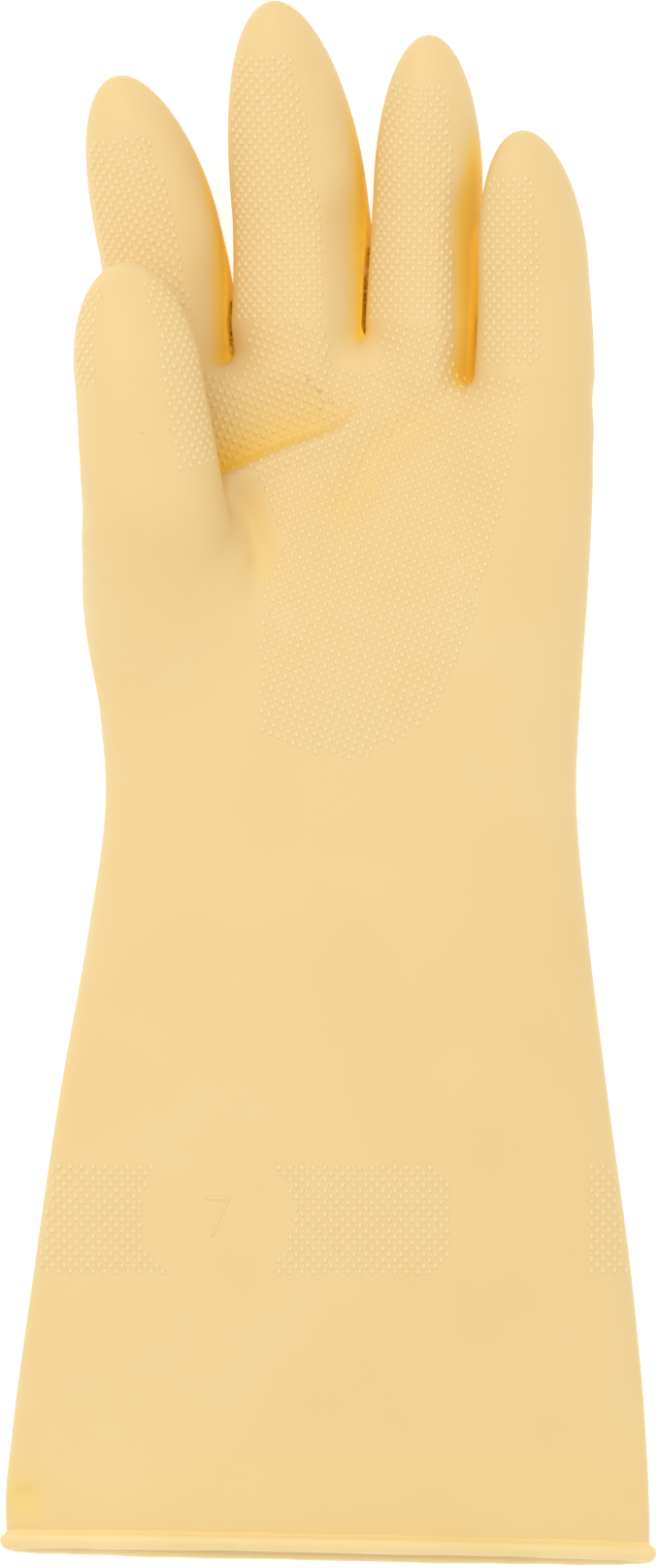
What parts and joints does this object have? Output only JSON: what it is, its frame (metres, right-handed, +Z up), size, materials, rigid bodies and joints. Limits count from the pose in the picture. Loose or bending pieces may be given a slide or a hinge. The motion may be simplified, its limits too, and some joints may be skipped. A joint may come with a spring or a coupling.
{
  "type": "rubber glove",
  "caption": "Left-hand natural rubber gauntlet glove with a flared forearm sleeve, a rolled edge at the mouth and fingers that bend.",
  "frame": {"origin": "middle of the bounding box's bottom face: the table that the back of the hand lies on", "axes": "+Y towards the fingertips, +X towards the little finger, +Z up out of the palm"},
  "size_m": [0.128, 0.306, 0.0495],
  "materials": {
    "latex": "matt, slightly translucent",
    "rolled_latex": "matt, slightly translucent"
  },
  "bodies": {
    "hand": {"hand_shell": "latex", "wrist_fold": "latex", "index_root_fold": "latex", "middle_root_fold": "latex", "ring_root_fold": "latex", "little_root_fold": "latex", "thumb_root_fold": "latex"},
    "gauntlet": {"gauntlet_shell": "latex", "cuff_bead": "rolled_latex"},
    "index_lower": {"index_lower": "latex", "index_centre_fold": "latex"},
    "index_centre": {"index_centre": "latex", "index_tip_fold": "latex"},
    "index_tip": {"index_tip": "latex"},
    "middle_lower": {"middle_lower": "latex", "middle_centre_fold": "latex"},
    "middle_centre": {"middle_centre": "latex", "middle_tip_fold": "latex"},
    "middle_tip": {"middle_tip": "latex"},
    "ring_lower": {"ring_lower": "latex", "ring_centre_fold": "latex"},
    "ring_centre": {"ring_centre": "latex", "ring_tip_fold": "latex"},
    "ring_tip": {"ring_tip": "latex"},
    "little_lower": {"little_lower": "latex", "little_centre_fold": "latex"},
    "little_centre": {"little_centre": "latex", "little_tip_fold": "latex"},
    "little_tip": {"little_tip": "latex"},
    "thumb_lower": {"thumb_lower": "latex", "thumb_tip_fold": "latex"},
    "thumb_tip": {"thumb_tip": "latex"}
  },
  "joints": [
    {"name": "wrist_bend", "type": "hinge", "parent": "hand", "child": "gauntlet", "pos_m": [0, -0.002, 0.015], "axis": [-1, 0, 0], "range_deg": [-40, 40], "stiffness_Nm_per_rad": 1, "deforming": ["wrist_fold"]},
    {"name": "index_root_bend", "type": "hinge", "parent": "hand", "child": "index_lower", "pos_m": [-0.03152, 0.08983, 0.0144], "axis": [0.9997, 0.0232, 0], "range_deg": [-10, 15], "stiffness_Nm_per_rad": 0.05, "deforming": ["index_root_fold"]},
    {"name": "index_centre_bend", "type": "hinge", "parent": "index_lower", "child": "index_centre", "pos_m": [-0.03358, 0.10768, 0.0165], "axis": [0.9802, 0.1982, 0], "range_deg": [0, 55], "stiffness_Nm_per_rad": 0.05, "deforming": ["index_centre_fold"]},
    {"name": "index_tip_bend", "type": "hinge", "parent": "index_centre", "child": "index_tip", "pos_m": [-0.03758, 0.12412, 0.02057], "axis": [0.9653, 0.2613, 0], "range_deg": [0, 33], "stiffness_Nm_per_rad": 0.004, "deforming": ["index_tip_fold"]},
    {"name": "middle_root_bend", "type": "hinge", "parent": "hand", "child": "middle_lower", "pos_m": [-0.00549, 0.09684, 0.01561], "axis": [1, 0.0058, 0], "range_deg": [-10, 65], "stiffness_Nm_per_rad": 0.05, "deforming": ["middle_root_fold"]},
    {"name": "middle_centre_bend", "type": "hinge", "parent": "middle_lower", "child": "middle_centre", "pos_m": [-0.00654, 0.116, 0.01787], "axis": [0.9949, 0.1004, 0], "range_deg": [0, 75], "stiffness_Nm_per_rad": 0.05, "deforming": ["middle_centre_fold"]},
    {"name": "middle_tip_bend", "type": "hinge", "parent": "middle_centre", "child": "middle_tip", "pos_m": [-0.00875, 0.13362, 0.02244], "axis": [0.9894, 0.1449, 0], "range_deg": [0, 45], "stiffness_Nm_per_rad": 0.004, "deforming": ["middle_tip_fold"]},
    {"name": "ring_root_bend", "type": "hinge", "parent": "hand", "child": "ring_lower", "pos_m": [0.01883, 0.09625, 0.01633], "axis": [0.9998, -0.0189, 0], "range_deg": [-10, 65], "stiffness_Nm_per_rad": 0.05, "deforming": ["ring_root_fold"]},
    {"name": "ring_centre_bend", "type": "hinge", "parent": "ring_lower", "child": "ring_centre", "pos_m": [0.01908, 0.11409, 0.01911], "axis": [1, -0.0087, 0], "range_deg": [0, 75], "stiffness_Nm_per_rad": 0.05, "deforming": ["ring_centre_fold"]},
    {"name": "ring_tip_bend", "type": "hinge", "parent": "ring_centre", "child": "ring_tip", "pos_m": [0.01914, 0.1303, 0.02383], "axis": [1, 0.0031, 0], "range_deg": [0, 45], "stiffness_Nm_per_rad": 0.004, "deforming": ["ring_tip_fold"]},
    {"name": "little_root_bend", "type": "hinge", "parent": "hand", "child": "little_lower", "pos_m": [0.03978, 0.08532, 0.02484], "axis": [1, -0.0034, 0], "range_deg": [-10, 65], "stiffness_Nm_per_rad": 0.05, "deforming": ["little_root_fold"]},
    {"name": "little_centre_bend", "type": "hinge", "parent": "little_lower", "child": "little_centre", "pos_m": [0.03941, 0.10094, 0.02646], "axis": [0.9985, 0.0547, 0], "range_deg": [0, 75], "stiffness_Nm_per_rad": 0.05, "deforming": ["little_centre_fold"]},
    {"name": "little_tip_bend", "type": "hinge", "parent": "little_centre", "child": "little_tip", "pos_m": [0.03823, 0.11525, 0.02945], "axis": [0.9933, 0.1157, 0], "range_deg": [0, 45], "stiffness_Nm_per_rad": 0.004, "deforming": ["little_tip_fold"]},
    {"name": "thumb_root_swing", "type": "hinge", "parent": "hand", "child": "thumb_lower", "pos_m": [-0.03527, 0.06377, 0.03658], "axis": [0.0195, -0.224, 0.9744], "range_deg": [-15, 45], "stiffness_Nm_per_rad": 0.05, "deforming": ["thumb_root_fold"]},
    {"name": "thumb_tip_bend", "type": "hinge", "parent": "thumb_lower", "child": "thumb_tip", "pos_m": [-0.03705, 0.08147, 0.03919], "axis": [0.0095, -0.0839, 0.9964], "range_deg": [-45, 15], "stiffness_Nm_per_rad": 0.02, "deforming": ["thumb_tip_fold"]}
  ],
  "couplings": [
    {"joint": "index_tip_bend", "follows": "index_centre_bend", "ratio": 0.6},
    {"joint": "middle_tip_bend", "follows": "middle_centre_bend", "ratio": 0.6},
    {"joint": "ring_tip_bend", "follows": "ring_centre_bend", "ratio": 0.6},
    {"joint": "little_tip_bend", "follows": "little_centre_bend", "ratio": 0.6}
  ]
}
